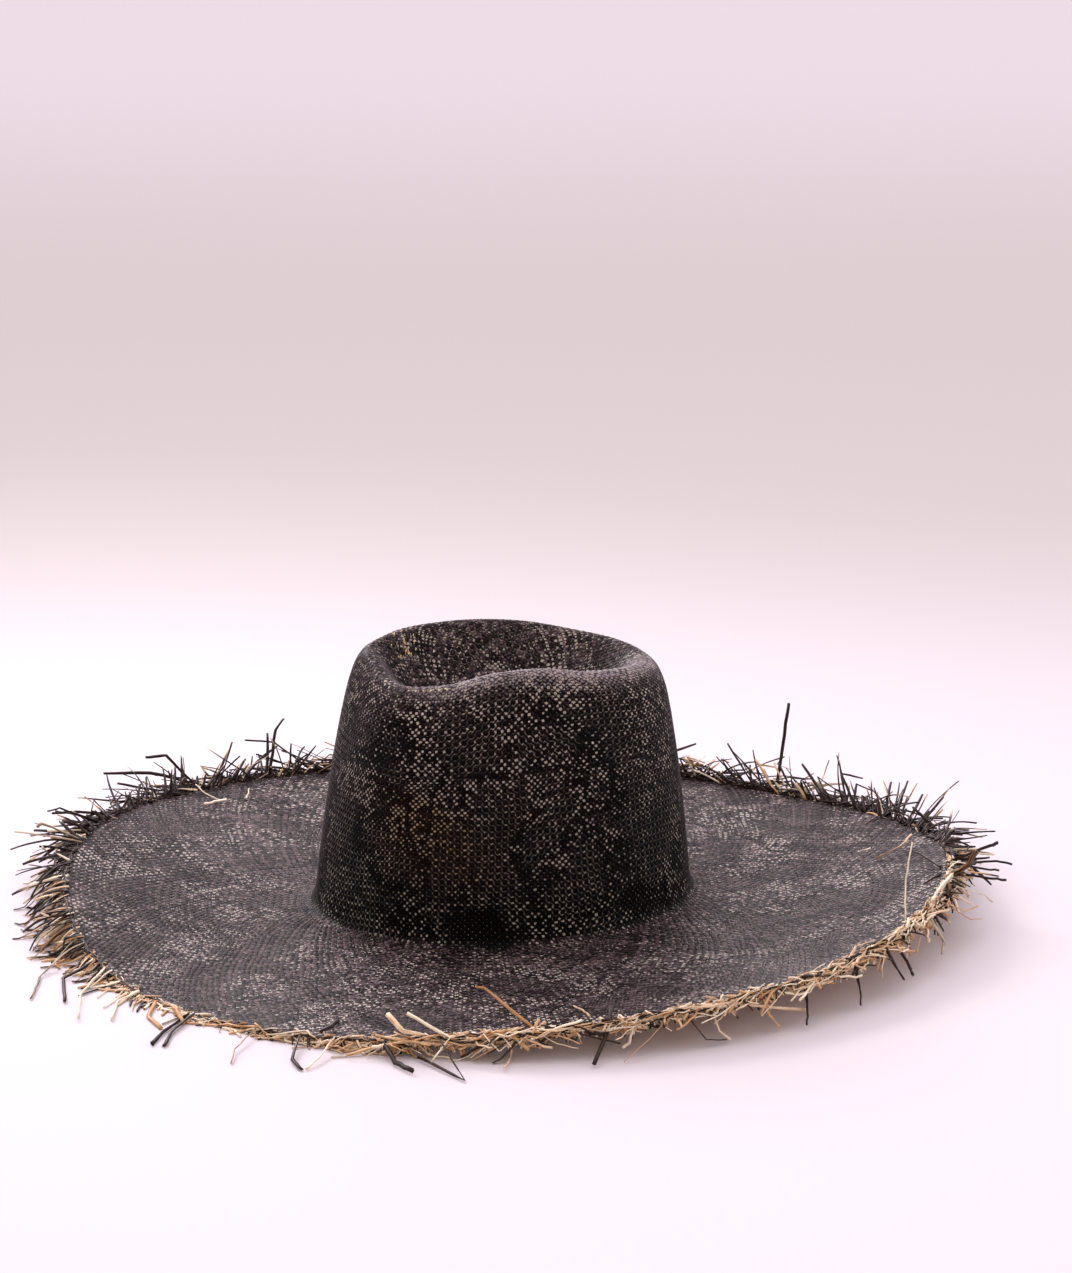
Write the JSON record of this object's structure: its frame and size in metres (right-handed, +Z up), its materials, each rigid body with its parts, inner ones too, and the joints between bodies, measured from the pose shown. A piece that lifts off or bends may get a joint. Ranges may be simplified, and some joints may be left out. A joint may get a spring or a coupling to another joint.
{
  "type": "straw hat",
  "caption": "Wide-brimmed woven straw hat with a dented fedora crown, a brim raised at the sides and a frayed fringe of straw ends round its edge.",
  "frame": {"origin": "on the floor, under the middle of the hat's outline", "axes": "+Z up through the crown, -Y towards the hat's front, +X to the right side of the hat as seen from behind"},
  "size_m": [0.5194, 0.5146, 0.1375],
  "materials": {
    "black_straw": "woven palm straw, dyed black on the outside, natural tan inside, slight sheen",
    "straw_ends": "bare straw ends, partly black and partly natural tan, matte"
  },
  "bodies": {
    "root": {"woven_body": "black_straw", "frayed_edge": "straw_ends"}
  },
  "joints": []
}
